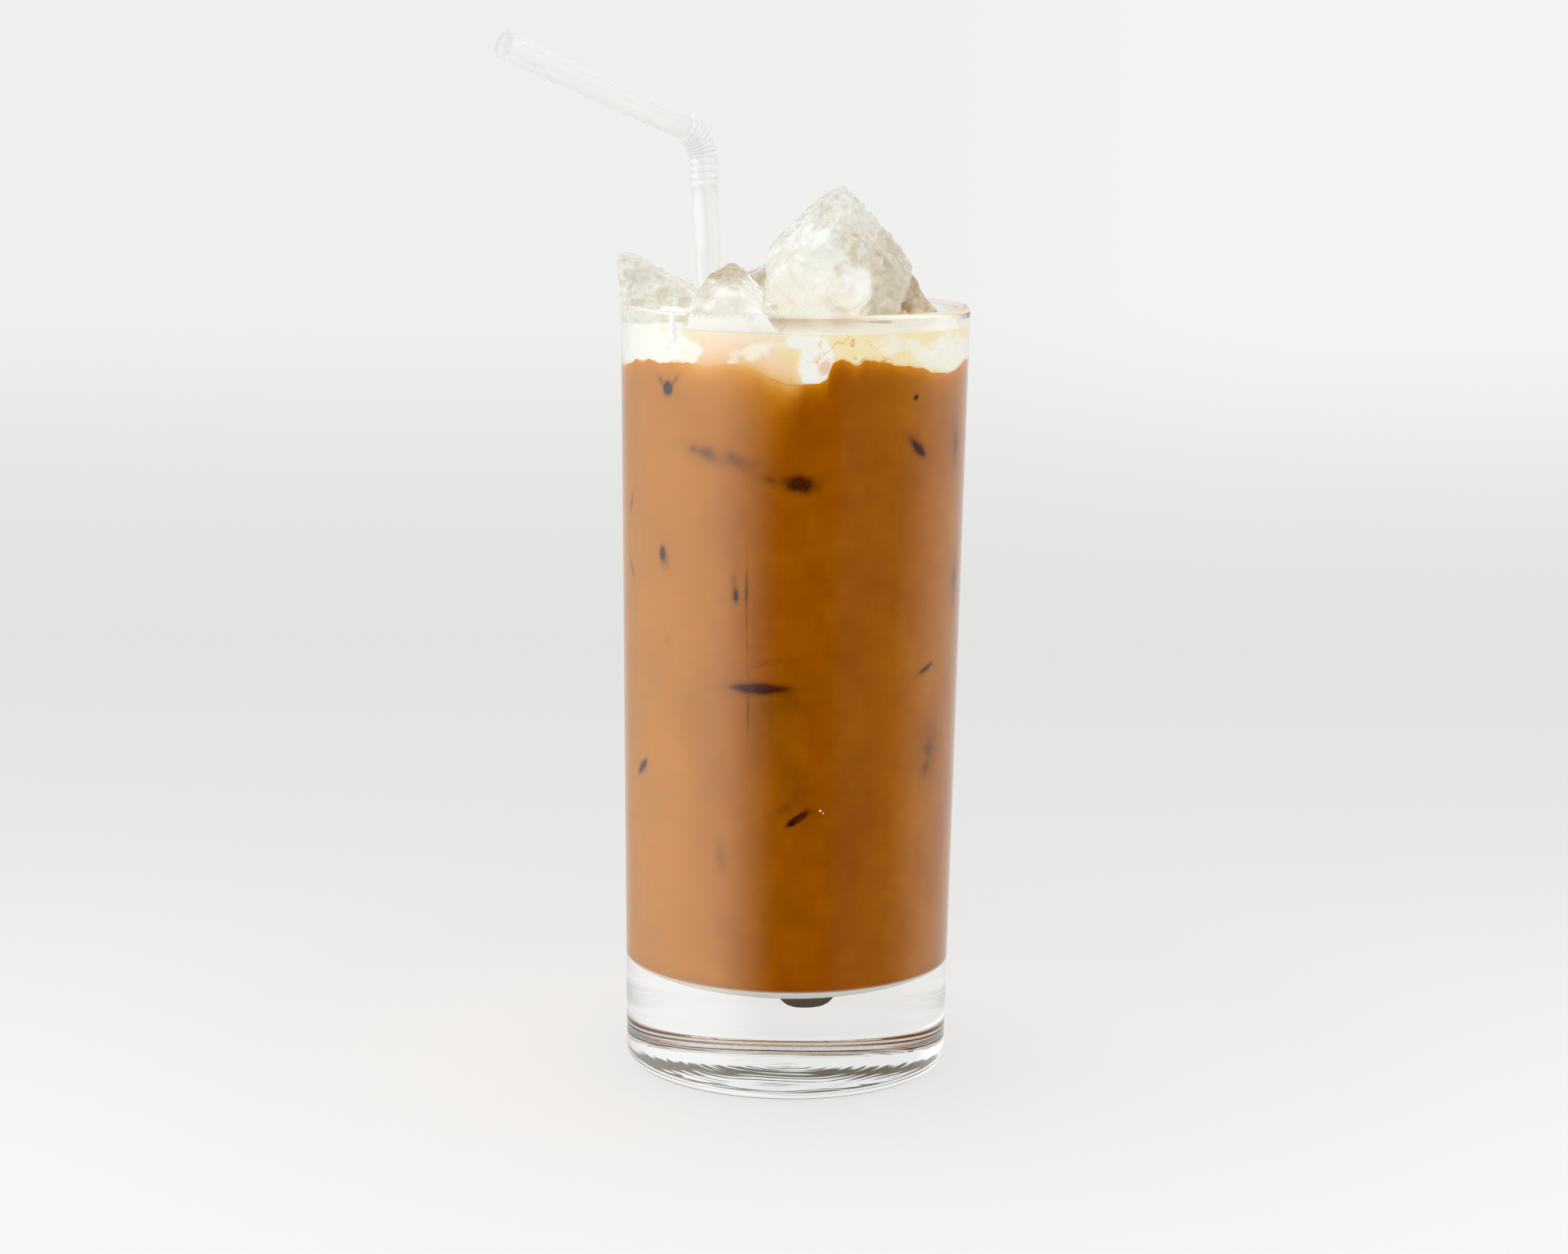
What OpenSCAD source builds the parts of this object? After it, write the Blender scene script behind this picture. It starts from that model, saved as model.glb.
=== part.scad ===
// Iced coffee with cream, broken ice and a bendy straw in a tall glass.
// Millimetres. +Z is up, the front is towards -Y, and the origin is the middle of the foot.
// Angles round the glass start at the front and turn towards +X.

/* [Glass] */
// Height of the glass
glass_h = 150; // [130:1:180]
// Outer radius at the rim
rim_r = 33.6; // [32:0.1:40]
// Outer radius at the foot, if the heel were sharp
base_r = 31.5; // [29.5:0.1:36]
// Wall at the rim, whose lip is a full round
rim_wall = 1.9; // [1.4:0.1:2.6]
// Wall just above the floor
low_wall = 2.3; // [1.8:0.1:3.2]
// Height of the floor at its edge
floor_edge = 21; // [18:0.5:26]
// How far the middle of the floor lies below its edge
floor_dish = 4.5; // [2:0.5:6]
// Round between the floor and the wall
floor_fillet = 3; // [1.5:0.5:5]
// Round of the heel
heel_r = 3.2; // [2:0.1:4]
// Inner radius of the ring that the glass stands on
foot_ring_r = 24; // [20:0.5:25]
// Rise of the hollow underside
underside_rise = 1.4; // [0.6:0.1:3]
// Radius of the round mark in the floor
mark_r = 4; // [2.5:0.5:5]
// Depth of the round mark
mark_depth = 3; // [1.5:0.5:4]
// How far the mark lies to the right of the middle
mark_x = 2.7; // [0:0.1:5]

/* [Drink] */
// Top of the cream below the rim
fill_gap = 3.5; // [2.5:0.5:6]
// Mean thickness of the cream
cream_t = 6.5; // [6:0.5:9]
// Height of the five swells where the cream meets the coffee
swell = 1.6; // [0.5:0.1:2]
// Height of the finer ripple on the swells
ripple = 0.5; // [0.2:0.1:0.8]
// How much further the cream hangs down at the front
tongue = 1.8; // [0:0.1:2.5]

/* [Straw] */
// Outer diameter of the tube
straw_d = 5.2; // [4.6:0.1:6]
// Wall of the tube
straw_wall = 0.3; // [0.25:0.05:0.4]
// Rise of each flex ring above the tube
ring_rise = 0.4; // [0.2:0.1:0.6]
// Distance between flex rings where the straw is straight
ring_pitch = 1.46; // [1.2:0.02:1.8]
// Height above the rim at which the flex rings start
flex_above = 21.4; // [16:0.2:40]
// Radius of the bend along the middle of the tube
bend_r = 6.5; // [6:0.1:9]
// Length of the arm past the bend
arm_len = 44; // [25:1:55]
// Heading of the arm
arm_turn = -53; // [-70:1:-40]
// Slope of the arm above the level
arm_rise = 20; // [5:1:40]

/* [Ice] */
// Size of the large chunk in the middle
big_size = 30; // [26:1:31]
// Size of the wedge behind it on the right
right_size = 22; // [20:1:24]
// Size of the chunk on the left rim
left_size = 20; // [18:1:22]
// Size of the chunk at the front wall
front_size = 20; // [18:1:22]
// Size of the chunk at the back
back_size = 18; // [16:1:20]
// Crispness of the melted edges: higher is sharper
melt = 9; // [6:1:14]

/* [Hidden] */
$fn = 96;

// ---- Glass: outlines as [radius, height] -------------------------------------------------
lip_r = rim_wall / 2;
fillet_z = floor_edge + floor_fillet;
function outer_r(z) = base_r + (rim_r - base_r) * z / glass_h;
function wall_at(z) = low_wall + (rim_wall - low_wall) * (z - floor_edge) / (glass_h - floor_edge);
function inner_r(z) = outer_r(z) - wall_at(z);
// Points on an arc about c from angle a0 to a1
function arc(c, r, a0, a1, n) = [
    for (i = [0:n]) c + r * [cos(a0 + (a1 - a0) * i / n), sin(a0 + (a1 - a0) * i / n)]
];
// The dished floor is a parabola that runs into the fillet at their common slope
dish_slope = atan(2 * floor_dish / inner_r(fillet_z));
dish_r = inner_r(fillet_z) - floor_fillet * (1 - sin(dish_slope));
floor_mid = floor_edge - floor_dish;
fillet_c = [dish_r - floor_fillet * sin(dish_slope), floor_edge + floor_fillet * cos(dish_slope)];
function dish_z(r) = floor_mid + floor_dish * pow(r / dish_r, 2);
function dish(n) = [for (i = [0:n - 1]) [dish_r * i / n, dish_z(dish_r * i / n)]];
function underside(n) = [
    for (i = [0:n]) [foot_ring_r * (1 - i / n), underside_rise * (1 - pow(1 - i / n, 2))]
];
// Inner surface from the middle of the floor up to the wall
floor_line = concat(dish(6), arc(fillet_c, floor_fillet, dish_slope - 90, 0, 5));
lip_c = [rim_r - lip_r, glass_h - lip_r];
lip_in = arc(lip_c, lip_r, 180, 90, 5);
lip_out = arc(lip_c, lip_r, 90, 0, 5);
heel = arc([outer_r(heel_r) - heel_r, heel_r], heel_r, 0, -90, 6);
glass_line = concat(floor_line, lip_in, lip_out, heel, underside(6));

// ---- Drink --------------------------------------------------------------------------------
level = glass_h - fill_gap;
layer_z = level - cream_t;
swells = 5;
swell_turn = 26;
ripples = 11;
ripple_turn = 8;
tongue_turn = -1;
tongue_width = 8;
// Height at which cream meets coffee: waves that grow towards the wall
function bump(a) = exp(-pow((a - tongue_turn) / tongue_width, 2));
function wave(a) = swell * cos(swells * (a - swell_turn)) + ripple * cos(ripples * (a - ripple_turn));
function layer_at(a, r) = layer_z + pow(r / rim_r, 1.5) * (wave(a) - tongue * bump(a));
layer_turns = [for (a = [-178:5:177]) a];
layer_shares = [0.35, 0.7, 1, 1.15];

// ---- Straw --------------------------------------------------------------------------------
tube_r = straw_d / 2;
foot_gap = 0.5;
foot_at = [-7.9, 6];
// The foot clears the floor at its outermost point, where the dish is highest
straw_foot = concat(foot_at, [dish_z(norm(foot_at) + tube_r) + foot_gap]);
straw_run = [-16.6, 12, glass_h] - straw_foot;
straw_dir = straw_run / norm(straw_run);
arm_dir = dir(arm_turn, arm_rise);
bend_axis = cross(straw_dir, arm_dir) / norm(cross(straw_dir, arm_dir));
bend_angle = acos(straw_dir * arm_dir);
straight_rings = 4;
bent_rings = 8;
flex_start = straw_foot + straw_dir * (glass_h + flex_above - straw_foot[2]) / straw_dir[2];
bend_start = flex_start + straw_dir * straight_rings * ring_pitch;
bend_in = cross(bend_axis, straw_dir);
bend_c = bend_start + bend_in * bend_r;
straw_sides = 14;
// Where the middle of the tube is, and where it heads, a degrees into the bend
function bend_point(a) = bend_c + bend_r * (straw_dir * sin(a) - bend_in * cos(a));
function bend_dir(a) = straw_dir * cos(a) + bend_in * sin(a);
// Stations along the straw: [middle, heading, outer radius]
function flex_r(i) = i % 2 == 0 ? tube_r : tube_r + ring_rise;
straight_flex = [
    for (i = [0:2 * straight_rings - 1])
        [flex_start + straw_dir * ring_pitch * i / 2, straw_dir, flex_r(i)]
];
bent_flex = [
    for (i = [0:2 * bent_rings])
        let (a = bend_angle * i / (2 * bent_rings))
        [bend_point(a), bend_dir(a), flex_r(i)]
];
arm_end = bend_point(bend_angle) + arm_dir * arm_len;
straw_foot_station = [straw_foot, straw_dir, tube_r];
stations = concat([straw_foot_station], straight_flex, bent_flex, [[arm_end, arm_dir, tube_r]]);
// One ring of points about a station, taking t off its radius
function hoop(s, t) = [
    for (i = [0:straw_sides - 1])
        let (a = 360 * i / straw_sides)
        s[0] + (s[2] - t) * (bend_axis * cos(a) + cross(s[1], bend_axis) * sin(a))
];

// ---- Ice: [middle, size, facets], each facet [turn, elevation, share of half the size] -----
// The middles follow the rim, so that each chunk keeps its place on the wall and over the drink
big_ice = [[8, 3, glass_h + 6], big_size, [
    [-88, 3, 0.93], [-60, 44, 0.76], [68, 37, 0.76], [88, -22, 0.92], [4, 14, 0.78],
    [-20, -25, 0.8], [178, 8, 0.74], [-140, 35, 0.85], [140, 35, 0.8], [0, -90, 1.25]
]];
right_ice = [[rim_r - 16.1, 12, glass_h], right_size, [
    [95, 35, 0.66], [-90, 10, 0.8], [-40, 52, 0.98], [20, 15, 0.65], [180, 10, 0.9],
    [150, 40, 0.85], [0, -90, 1.25]
]];
left_ice = [[6.6 - rim_r, -2, glass_h + 1], left_size, [
    [90, 63, 0.52], [-90, -9, 0.61], [-90, 50, 1.06], [0, -5, 0.8], [180, 5, 0.85],
    [95, -5, 0.9], [-90, -50, 1.1], [0, -90, 1.4]
]];
front_ice = [[-11.5, 14.6 - rim_r, glass_h - 3], front_size, [
    [-85, 12, 0.88], [-78, 45, 0.94], [-50, 66, 1.06], [82, 40, 0.8], [90, -8, 0.98],
    [0, 0, 1.4], [180, 20, 0.75], [-90, -40, 0.95], [0, -90, 1.1]
]];
back_ice = [[-5, rim_r - 14.6, glass_h - 1.5], back_size, [
    [-90, 67, 0.86], [-95, 0, 0.85], [80, 50, 0.9], [0, 10, 0.75], [180, 15, 0.9],
    [90, 15, 0.85], [0, -90, 1.3]
]];
// Unit vector at a turn round the glass and an elevation
function dir(turn, el) = [cos(el) * sin(turn), -cos(el) * cos(turn), sin(el)];
function sum(v, i = 0) = i < len(v) ? v[i] + sum(v, i + 1) : 0;
// How far the melted surface lies from the middle along u: a smooth minimum over the facets
function reach(u, ice) = pow(
    sum([for (f = ice[2]) pow(max(0, u * dir(f[0], f[1])) / (f[2] * ice[1] / 2), melt)]),
    -1 / melt
);
ice_turns = 20;
ice_rows = 11;
function ice_point(ice, turn, el) = ice[0] + dir(turn, el) * reach(dir(turn, el), ice);

// ---- Surfaces from rows of points -----------------------------------------------------------
// Two triangles for each cell between row j and row k, in rows of n points that close on themselves
function cells(n, j, k) = [
    for (i = [0:n - 1], half = [0, 1])
        let (m = (i + 1) % n)
        half == 0 ? [j * n + i, k * n + i, k * n + m] : [j * n + i, k * n + m, j * n + m]
];
function flat(lists) = [for (list = lists, item = list) item];

// A closed skin through rows stacked bottom to top, with a point at each end
module stacked(bottom, rows, top) {
    n = len(rows[0]);
    last = len(rows) - 1;
    low = n * len(rows);
    sides = flat([for (j = [0:last - 1]) cells(n, j, j + 1)]);
    lower = [for (i = [0:n - 1]) [low, i, (i + 1) % n]];
    upper = [for (i = [0:n - 1]) [low + 1, last * n + (i + 1) % n, last * n + i]];
    polyhedron(concat(flat(rows), [bottom, top]), concat(sides, lower, upper));
}

// A closed skin whose last row joins the first, as on a tube with an inner and an outer side
module looped(rows) {
    n = len(rows[0]);
    sides = flat([for (j = [0:len(rows) - 1]) cells(n, j, (j + 1) % len(rows))]);
    polyhedron(flat(rows), sides);
}

// The chunk's whole form, before the glass or a neighbour cuts it
module chunk(ice) {
    stacked(
        ice_point(ice, 0, -90),
        [
            for (j = [1:ice_rows - 1])
                [for (i = [0:ice_turns - 1]) ice_point(ice, 360 * i / ice_turns, 180 * j / ice_rows - 90)]
        ],
        ice_point(ice, 0, 90)
    );
}

// The round mark: a small bowl with a flat middle, which opens through the floor
module mark() {
    steps = 5;
    over = 1;
    bowl = [for (i = [1:steps]) [mark_r * i / steps, mark_depth * (i * i - 1) / (steps * steps - 1)]];
    translate([mark_x, 0, floor_mid - mark_depth])
        rotate_extrude()
            polygon(concat([[0, 0]], bowl, [[mark_r, mark_depth + over], [0, mark_depth + over]]));
}

// The space inside the glass up to height z
module inside(z) {
    union() {
        rotate_extrude()
            polygon(concat(floor_line, [[inner_r(z), z], [0, z]]));
        mark();
    }
}

// Everything that ice may fill: the inside, and all that is above the rim
module ice_room() {
    wide = 2 * rim_r;
    high = 2 * glass_h;
    rotate_extrude()
        polygon(concat(floor_line, lip_in, [[wide, glass_h], [wide, high], [0, high]]));
}

// All that lies above the wavy surface where cream meets coffee
module above_layer() {
    rows = [
        for (s = layer_shares)
            [for (a = layer_turns) concat(rim_r * s * [sin(a), -cos(a)], [layer_at(a, rim_r * s)])]
    ];
    lid = [for (a = layer_turns) concat(rim_r * layer_shares[3] * [sin(a), -cos(a)], [glass_h])];
    stacked([0, 0, layer_z], concat(rows, [lid]), [0, 0, glass_h]);
}

// A solid rod as wide as the straw less t, along its straight lower part
module straw_rod(t) {
    ends = [hoop(stations[0], t), hoop(stations[1], t)];
    stacked(straw_foot, ends, flex_start);
}

// The straw's straight lower part, as a tube
module straw_stem() {
    foot = stations[0];
    neck = stations[1];
    looped([hoop(foot, 0), hoop(neck, 0), hoop(neck, straw_wall), hoop(foot, straw_wall)]);
}

module all_chunks() {
    chunk(big_ice);
    chunk(right_ice);
    chunk(left_ice);
    chunk(front_ice);
    chunk(back_ice);
}

module glass() {
    color([0.9, 0.93, 0.92, 0.35])
    difference() {
        rotate_extrude()
            polygon(glass_line);
        mark();
    }
}

module coffee() {
    color([0.45, 0.2, 0.04])
    difference() {
        inside(level);
        difference() {
            above_layer();
            straw_rod(straw_wall);
        }
        all_chunks();
        straw_stem();
    }
}

module cream() {
    color([0.97, 0.9, 0.76])
    difference() {
        intersection() {
            inside(level);
            above_layer();
        }
        all_chunks();
        straw_rod(0);
    }
}

module ice_big() {
    color([0.9, 0.89, 0.86])
    intersection() {
        chunk(big_ice);
        ice_room();
    }
}

module ice_front() {
    color([0.88, 0.84, 0.78])
    difference() {
        intersection() {
            chunk(front_ice);
            ice_room();
        }
        chunk(big_ice);
        straw_rod(0);
    }
}

module ice_left() {
    color([0.9, 0.88, 0.84])
    difference() {
        intersection() {
            chunk(left_ice);
            ice_room();
        }
        chunk(front_ice);
        straw_rod(0);
    }
}

module ice_right() {
    color([0.78, 0.72, 0.62])
    difference() {
        intersection() {
            chunk(right_ice);
            ice_room();
        }
        chunk(big_ice);
    }
}

module ice_back() {
    color([0.82, 0.79, 0.74])
    difference() {
        intersection() {
            chunk(back_ice);
            ice_room();
        }
        chunk(big_ice);
        chunk(right_ice);
        straw_rod(0);
    }
}

module straw() {
    outer = [for (s = stations) hoop(s, 0)];
    inner = [for (i = [len(stations) - 1:-1:0]) hoop(stations[i], straw_wall)];
    color([0.93, 0.94, 0.95, 0.5])
    looped(concat(outer, inner));
}

glass();
coffee();
cream();
ice_big();
ice_right();
ice_left();
ice_front();
ice_back();
straw();
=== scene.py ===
# %% [markdown]
# # Iced coffee in a tall glass
#
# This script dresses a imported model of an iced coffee: a slim heavy-based glass, coffee under a
# layer of cream, broken ice that stands above the rim, and a clear bendy straw. The model comes
# first and stays as it is. Every piece made here is in metres, in the model's own frame: +Z is up,
# the front is towards -Y, and angles round the glass start at the front and turn towards +X.
# %% Load the model
import math

import bpy
import numpy as np
from mathutils import Matrix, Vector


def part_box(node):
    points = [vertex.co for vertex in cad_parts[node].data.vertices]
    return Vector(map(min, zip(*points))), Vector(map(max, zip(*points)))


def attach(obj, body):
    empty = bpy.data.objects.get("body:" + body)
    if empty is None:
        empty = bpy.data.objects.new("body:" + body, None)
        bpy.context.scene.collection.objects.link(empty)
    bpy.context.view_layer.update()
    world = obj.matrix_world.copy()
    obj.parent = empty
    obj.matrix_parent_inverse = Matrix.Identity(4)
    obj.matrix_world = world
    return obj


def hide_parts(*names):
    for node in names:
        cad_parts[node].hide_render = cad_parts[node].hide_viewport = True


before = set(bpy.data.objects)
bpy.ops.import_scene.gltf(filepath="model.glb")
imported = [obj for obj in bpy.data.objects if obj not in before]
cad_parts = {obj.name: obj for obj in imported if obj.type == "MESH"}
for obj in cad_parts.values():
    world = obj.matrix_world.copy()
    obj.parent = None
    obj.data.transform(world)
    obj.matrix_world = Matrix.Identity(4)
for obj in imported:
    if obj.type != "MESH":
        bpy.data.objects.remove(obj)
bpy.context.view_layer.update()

MM = 0.001
print("nodes:", sorted(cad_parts))

# %% [markdown]
# ## Sizes
#
# The glass is a slim tumbler of pressed soda glass. Its height and rim come from the model; the
# wall, floor and heel repeat the values that the model was built with, so that what is made here
# lies on the same surfaces.
# %% Sizes of the glass and the drink
low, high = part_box("glass")
RIM = high[0]
TALL = high[2]
BASE = 31.5 * MM
RIM_WALL = 1.9 * MM
LOW_WALL = 2.3 * MM
FLOOR = 21 * MM
DISH = 4.5 * MM
FILLET = 3 * MM
HEEL = 3.2 * MM
FOOT_RING = 24 * MM
UNDERSIDE = 1.4 * MM
MARK = dict(x=2.7 * MM, radius=4 * MM, depth=3 * MM)
MARK_SPAN = 7.5 * MM
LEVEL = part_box("cream")[1][2]
LAYER = LEVEL - 6.5 * MM
print(f"rim {RIM / MM:.1f} mm, height {TALL / MM:.1f} mm, drink up to {LEVEL / MM:.1f} mm")


def outer_radius(z):
    """Outside of the glass: a straight taper from the foot to the rim."""
    return BASE + (RIM - BASE) * z / TALL


def inner_radius(z):
    """Inside of the glass: the outside less a wall that thins evenly towards the rim."""
    return outer_radius(z) - LOW_WALL - (RIM_WALL - LOW_WALL) * (z - FLOOR) / (TALL - FLOOR)


DISH_SLOPE = math.atan(2 * DISH / inner_radius(FLOOR + FILLET))
DISH_RADIUS = inner_radius(FLOOR + FILLET) - FILLET * (1 - math.sin(DISH_SLOPE))


# %% [markdown]
# ## Helpers for shapes
#
# Each new piece is a surface with two parameters: rows stacked along one, points round the other.
# Whole arrays give the places of all the points at once. `skin` then joins the rows to a closed
# mesh, with a point at each open end, so that no hole and no inside-out face is left.
# %% Join rows of points to a closed mesh
def skin(name, rows, first=None, last=None, loop=False, paint=None):
    """A closed mesh through rows[k, n, 3]. Each row closes on itself. The ends close in a fan to
    the points first and last, or, as a loop, the last row joins the first."""
    k, n = rows.shape[:2]
    j, i = np.meshgrid(np.arange(k if loop else k - 1), np.arange(n), indexing="ij")
    near, far, side = j * n, (j + 1) % k * n, (i + 1) % n
    quads = np.stack([near + i, near + side, far + side, far + i], -1).reshape(-1, 4)
    points = rows.reshape(-1, 3)
    ring = np.arange(n)
    fans = np.zeros((0, 3), int)
    if first is not None:
        fans = np.stack([np.full(n, len(points)), (ring + 1) % n, ring], -1)
        points = np.vstack([points, first])
    if last is not None:
        end = (k - 1) * n
        top = np.stack([np.full(n, len(points)), end + ring, end + (ring + 1) % n], -1)
        fans = np.vstack([fans, top])
        points = np.vstack([points, last])
    return build(name, points, quads, fans, paint)


def build(name, points, quads, fans, paint=None):
    """A smooth mesh object from points, four-sided faces and three-sided faces."""
    mesh = bpy.data.meshes.new(name)
    mesh.vertices.add(len(points))
    mesh.vertices.foreach_set("co", np.asarray(points, np.float32).ravel())
    corners = np.concatenate([quads.ravel(), fans.ravel()]).astype(np.int32)
    sizes = np.concatenate([np.full(len(quads), 4), np.full(len(fans), 3)]).astype(np.int32)
    mesh.loops.add(len(corners))
    mesh.loops.foreach_set("vertex_index", corners)
    mesh.polygons.add(len(sizes))
    mesh.polygons.foreach_set("loop_start", np.concatenate([[0], np.cumsum(sizes)[:-1]]).astype(np.int32))
    mesh.polygons.foreach_set("use_smooth", np.ones(len(sizes), bool))
    mesh.update(calc_edges=True)
    mesh.validate()
    for attribute, values in (paint or {}).items():
        kind, field = ("FLOAT", "value") if np.ndim(values) == 1 else ("FLOAT_COLOR", "color")
        data = mesh.attributes.new(attribute, kind, "POINT").data
        data.foreach_set(field, np.asarray(values, np.float32).ravel())
    piece = bpy.data.objects.new(name, mesh)
    bpy.context.collection.objects.link(piece)
    print(f"{name}: {len(points)} points, {2 * len(quads) + len(fans)} triangles")
    return piece


def ring(radius, z, turns):
    """Points at a radius and height, at turns in radians from the front towards +X."""
    radius, z, turns = np.broadcast_arrays(radius, z, turns)
    return np.stack([radius * np.sin(turns), -radius * np.cos(turns), z], -1)


def circle(n):
    return np.linspace(0, 2 * np.pi, n, endpoint=False)


def arc(centre, radius, start, stop, n):
    """Radius and height along an arc, with its angles in degrees."""
    angle = np.radians(np.linspace(start, stop, n))
    return np.stack([centre[0] + radius * np.cos(angle), centre[1] + radius * np.sin(angle)], -1)


def smooth(x, start, stop):
    """0 before start, 1 after stop, and an S-shaped rise between."""
    t = np.clip((x - start) / (stop - start), 0, 1)
    return t * t * (3 - 2 * t)


# %% [markdown]
# Real surfaces are uneven at several scales. A sum of sine waves in random directions gives a
# smooth, repeatable unevenness that can be worked out for all the points at once. The directions
# come from a seeded generator, so every run gives the same result.
# %% Unevenness from sine waves
def ripples(points, length, seed, waves=16):
    """Smooth noise of about -1 to 1: the mean of sine waves of one length in random directions."""
    chance = np.random.default_rng(seed)
    ways = chance.normal(size=(waves, 3))
    ways *= 2 * np.pi / length / np.linalg.norm(ways, axis=1, keepdims=True)
    starts = chance.uniform(0, 2 * np.pi, waves)
    return np.sin(points @ ways.T + starts).sum(-1) * math.sqrt(2 / waves) / 1.6


def rough(points, length, seed, octaves=3):
    """Ripples at halving lengths and halving heights."""
    layers = [ripples(points, length / 2**o, seed + o) / 2**o for o in range(octaves)]
    return sum(layers)


# %% [markdown]
# ## Helpers for materials
#
# A material is a net of nodes. Wrapping a node's output in a small class lets the net be written
# as plain sums: `1 - mask * 0.5` adds the Math nodes by itself. Any other node comes from one
# method, `node`, which takes the node's type, its settings and the values or wires of its sockets.
# %% A wire that Python can do sums with
class Wire:
    """The output of a shader node. Operators on wires add Math nodes."""

    def __init__(self, tree, socket=None):
        self.tree = tree
        self.socket = socket

    def node(self, kind, settings=None, sockets=None, out=0):
        made = self.tree.nodes.new(kind)
        for setting, value in (settings or {}).items():
            setattr(made, setting, value)
        for name, value in (sockets or {}).items():
            if isinstance(value, Wire):
                self.tree.links.new(value.socket, made.inputs[name])
            else:
                made.inputs[name].default_value = value
        return Wire(self.tree, made.outputs[out] if made.outputs else None)

    def sum(self, operation, *values):
        return self.node("ShaderNodeMath", {"operation": operation}, dict(enumerate(values)))

    def __add__(self, other):
        return self.sum("ADD", self, other)

    def __sub__(self, other):
        return self.sum("SUBTRACT", self, other)

    def __rsub__(self, other):
        return self.sum("SUBTRACT", other, self)

    def __mul__(self, other):
        return self.sum("MULTIPLY", self, other)

    def __truediv__(self, other):
        return self.sum("DIVIDE", self, other)

    def __neg__(self):
        return self.sum("MULTIPLY", self, -1)

    __radd__ = __add__
    __rmul__ = __mul__

    def most(self, other):
        return self.sum("MAXIMUM", self, other)

    def least(self, other):
        return self.sum("MINIMUM", self, other)

    def rise(self, start, stop, low=0.0, high=1.0):
        """An S-shaped rise from low to high as the wire goes from start to stop."""
        sockets = {"Value": self, "From Min": start, "From Max": stop, "To Min": low, "To Max": high}
        return self.node("ShaderNodeMapRange", {"interpolation_type": "SMOOTHSTEP"}, sockets)

    def between(self, first, second):
        """The colour first where the wire is 0, and second where it is 1."""
        return self.node("ShaderNodeMix", {"data_type": "RGBA"}, {0: self, 6: first, 7: second}, out=2)

    def noise(self, scale, detail=2.0, roughness=0.5, distortion=0.0):
        sockets = {"Vector": self, "Scale": scale, "Detail": detail, "Roughness": roughness,
                   "Distortion": distortion}
        return self.node("ShaderNodeTexNoise", None, sockets)

    def bump(self, strength, distance):
        sockets = {"Height": self, "Strength": strength, "Distance": distance}
        return self.node("ShaderNodeBump", None, sockets)

    def axis(self, index):
        """The x, y or z of a wire that carries a place or a direction."""
        return self.node("ShaderNodeSeparateXYZ", None, {0: self}, out=index)

    def blend(self, share, first, second):
        """The surface first where share is 0, and second where it is 1."""
        return self.node("ShaderNodeMixShader", None, {0: share, 1: first, 2: second})


def new_material(name):
    """An empty material and a wire with which to start its net."""
    material = bpy.data.materials.new(name)
    material.use_nodes = True
    material.node_tree.nodes.clear()
    return material, Wire(material.node_tree)


def places(start):
    """The place on the object, in metres, which stays put however the object is viewed."""
    return start.node("ShaderNodeTexCoord", out="Object")


def attribute(start, name, out="Fac"):
    return start.node("ShaderNodeAttribute", {"attribute_name": name}, out=out)


def principled(start, **values):
    """The standard surface. Underscores in the names stand for spaces."""
    sockets = {name.replace("_", " "): value for name, value in values.items()}
    return start.node("ShaderNodeBsdfPrincipled", None, sockets)


def finish_material(material, surface):
    surface.node("ShaderNodeOutputMaterial", None, {"Surface": surface})
    print("material", material.name, "has", len(material.node_tree.nodes), "nodes")
    return material


def dress(piece, material, slot, *nodes):
    """Gives a piece its material and its body, and hides the model's nodes that it stands for. The slot is
    not used.
    """
    piece.data.materials.clear()
    piece.data.materials.append(material)
    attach(piece, "root")
    if nodes:
        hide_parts(*nodes)


# %% [markdown]
# Light goes through clear things by two ways. A camera ray bends, as it should. A ray that only
# asks how much light reaches the drink inside would find its way blocked, so for those rays the
# clear part lets light straight through. That keeps the drink lit without a long, noisy search.
# %% Let light through clear things
def clear(start, surface, tint):
    """Mixes a clear surface with a plain see-through one for shadow and diffuse rays."""
    path = start.node("ShaderNodeLightPath", out="Is Shadow Ray")
    diffuse = Wire(start.tree, path.socket.node.outputs["Is Diffuse Ray"])
    through = start.node("ShaderNodeBsdfTransparent", None, {"Color": (*tint, 1)})
    return start.blend(path.most(diffuse), surface, through)


# %% [markdown]
# ## Studio
#
# The glass stands on a plain pale table, in soft studio light. A tall soft light on the left gives
# the broad sheen down the left of the glass, a weaker one behind on the right edges it, and the
# room on the camera's side is dark, so the middle of the glass shows the drink's own colour. All
# this is one sky: a pattern on the direction of a ray. Over the backdrop is a dark gap before the
# ceiling light; the underside of the glass mirrors it as a dark streaky band low in the base. The
# camera sees the pale backdrop, light through the glass comes from a pale room but for that gap,
# and what lights the drink is nearly even.
# %% Camera and floor
LENS = 76.5
CAMERA_AT = (-0.0014, -0.642, 0.1946)
LOOK_DOWN = 9.53
CAMERA_ROLL = 0.78
camera = bpy.data.objects.new("camera", bpy.data.cameras.new("camera"))
camera.data.lens = LENS
camera.data.sensor_width = 36
camera.matrix_world = (
    Matrix.Translation(CAMERA_AT)
    @ Matrix.Rotation(math.radians(90 - LOOK_DOWN), 4, "X")
    @ Matrix.Rotation(math.radians(CAMERA_ROLL), 4, "Z")
)
bpy.context.collection.objects.link(camera)
bpy.context.scene.camera = camera
bpy.context.scene.view_settings.view_transform = "Standard"
BACKDROP = (0.865, 0.865, 0.855, 1)
# Painted light: the backdrop, and the far table that runs into it, is lighter towards the right
BACKDROP_LIT_RIGHT = (0.905, 0.905, 0.905, 1)

turns = circle(96)
table = skin("table", ring(np.array([[0.2], [0.6], [1.5], [4], [12]]), 0.0, turns), first=(0, 0, 0))
table.visible_glossy = False

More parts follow.
